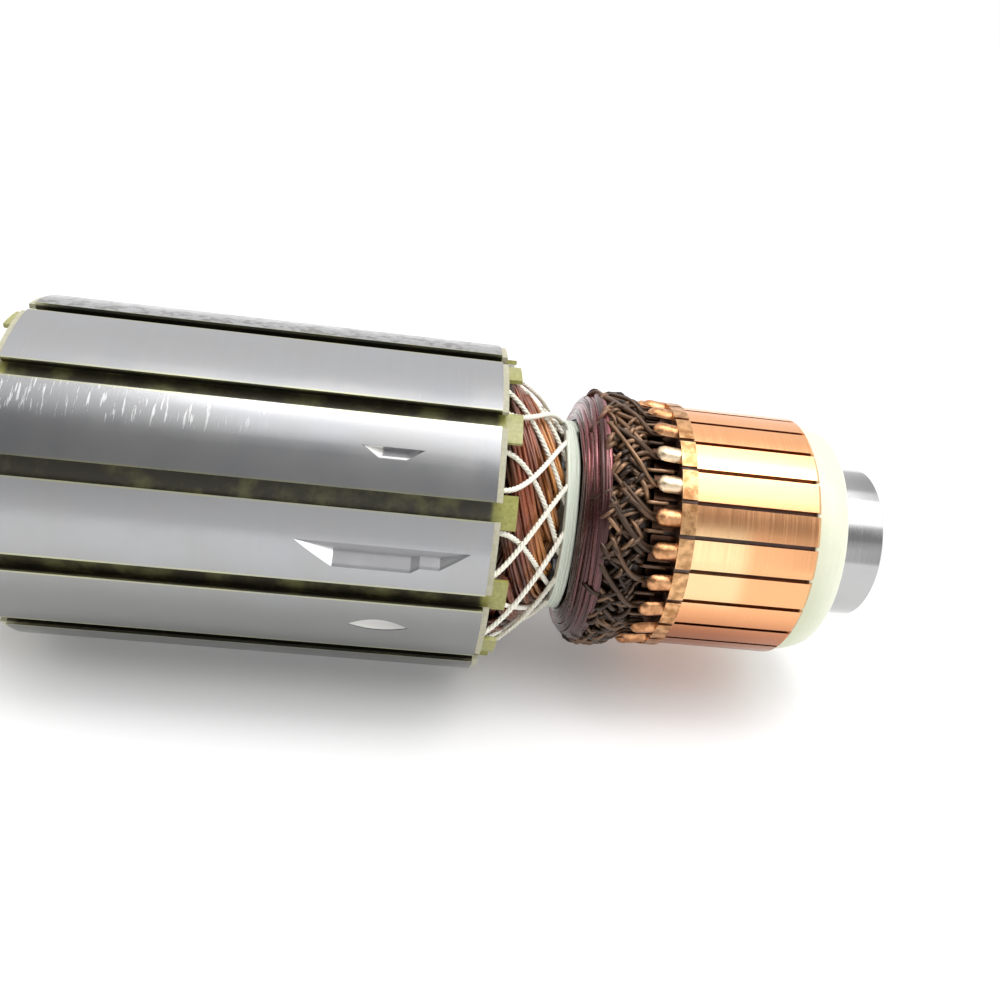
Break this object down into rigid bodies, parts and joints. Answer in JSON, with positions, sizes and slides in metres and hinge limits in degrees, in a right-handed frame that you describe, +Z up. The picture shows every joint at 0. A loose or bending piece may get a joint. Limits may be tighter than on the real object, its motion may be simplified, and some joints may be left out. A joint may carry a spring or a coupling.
{
  "type": "motor armature",
  "caption": "Wound rotor of a small universal motor: slotted laminated core, laced coils, hook-type commutator and end ball bearing on one shaft.",
  "frame": {"origin": "centre of the commutator-end ball bearing, on the shaft axis", "axes": "+X along the shaft from the drive end to the commutator end, +Z up with one core slot facing straight down"},
  "size_m": [0.1635, 0.047, 0.047],
  "materials": {
    "ground_steel": "ground, with fine turning marks",
    "sleeve_plastic": "moulded, dull",
    "core_steel": "stacked laminations, turned on the outside, light rust specks",
    "fibre_board": "pressed fibre board, dull",
    "slot_paper": "varnished slot paper, satin",
    "lacing_cord": "braided cord, dull",
    "band_cord": "varnished cord, slightly glossy",
    "varnished_leads": "dark baked varnish over wire, glossy",
    "enamelled_wire": "enamelled copper wire under varnish, glossy",
    "moulded_resin": "moulded resin, satin",
    "bush_steel": "turned",
    "bearing_steel": "ground and polished",
    "cage_plastic": "moulded",
    "shield_steel": "pressed sheet",
    "commutator_copper": "turned copper, bright with brush marks"
  },
  "bodies": {
    "armature": {"shaft": "ground_steel", "shaft_sleeve": "sleeve_plastic", "core_stack": "core_steel", "end_disc_front": "fibre_board", "end_disc_rear": "fibre_board", "slot_liners": "slot_paper", "slot_strips": "slot_paper", "lacing_front": "lacing_cord", "lacing_rear": "lacing_cord", "neck_band": "band_cord", "tail_band": "band_cord", "lead_collar": "varnished_leads", "lead_wires": "varnished_leads", "commutator_moulding": "moulded_resin", "commutator_bush": "bush_steel", "bearing_inner_ring": "bearing_steel", "coil_01": "enamelled_wire", "coil_02": "enamelled_wire", "coil_03": "enamelled_wire", "coil_04": "enamelled_wire", "coil_05": "enamelled_wire", "coil_06": "enamelled_wire", "coil_07": "enamelled_wire", "coil_08": "enamelled_wire", "coil_09": "enamelled_wire", "coil_10": "enamelled_wire", "coil_11": "enamelled_wire", "coil_12": "enamelled_wire", "bar_01": "commutator_copper", "bar_02": "commutator_copper", "bar_03": "commutator_copper", "bar_04": "commutator_copper", "bar_05": "commutator_copper", "bar_06": "commutator_copper", "bar_07": "commutator_copper", "bar_08": "commutator_copper", "bar_09": "commutator_copper", "bar_10": "commutator_copper", "bar_11": "commutator_copper", "bar_12": "commutator_copper", "bar_13": "commutator_copper", "bar_14": "commutator_copper", "bar_15": "commutator_copper", "bar_16": "commutator_copper", "bar_17": "commutator_copper", "bar_18": "commutator_copper", "bar_19": "commutator_copper", "bar_20": "commutator_copper", "bar_21": "commutator_copper", "bar_22": "commutator_copper", "bar_23": "commutator_copper", "bar_24": "commutator_copper"},
    "bearing_outer": {"bearing_outer_ring": "bearing_steel", "bearing_shield_front": "shield_steel", "bearing_shield_rear": "shield_steel"},
    "ball_cage": {"bearing_cage": "cage_plastic", "bearing_balls": "bearing_steel"}
  },
  "joints": [
    {"name": "outer_ring_spin", "type": "hinge", "parent": "armature", "child": "bearing_outer", "pos_m": [0, 0, 0], "axis": [1, 0, 0], "continuous": true},
    {"name": "cage_spin", "type": "hinge", "parent": "armature", "child": "ball_cage", "pos_m": [0, 0, 0], "axis": [1, 0, 0], "continuous": true}
  ],
  "couplings": [
    {"joint": "cage_spin", "follows": "outer_ring_spin", "ratio": 0.6323}
  ]
}
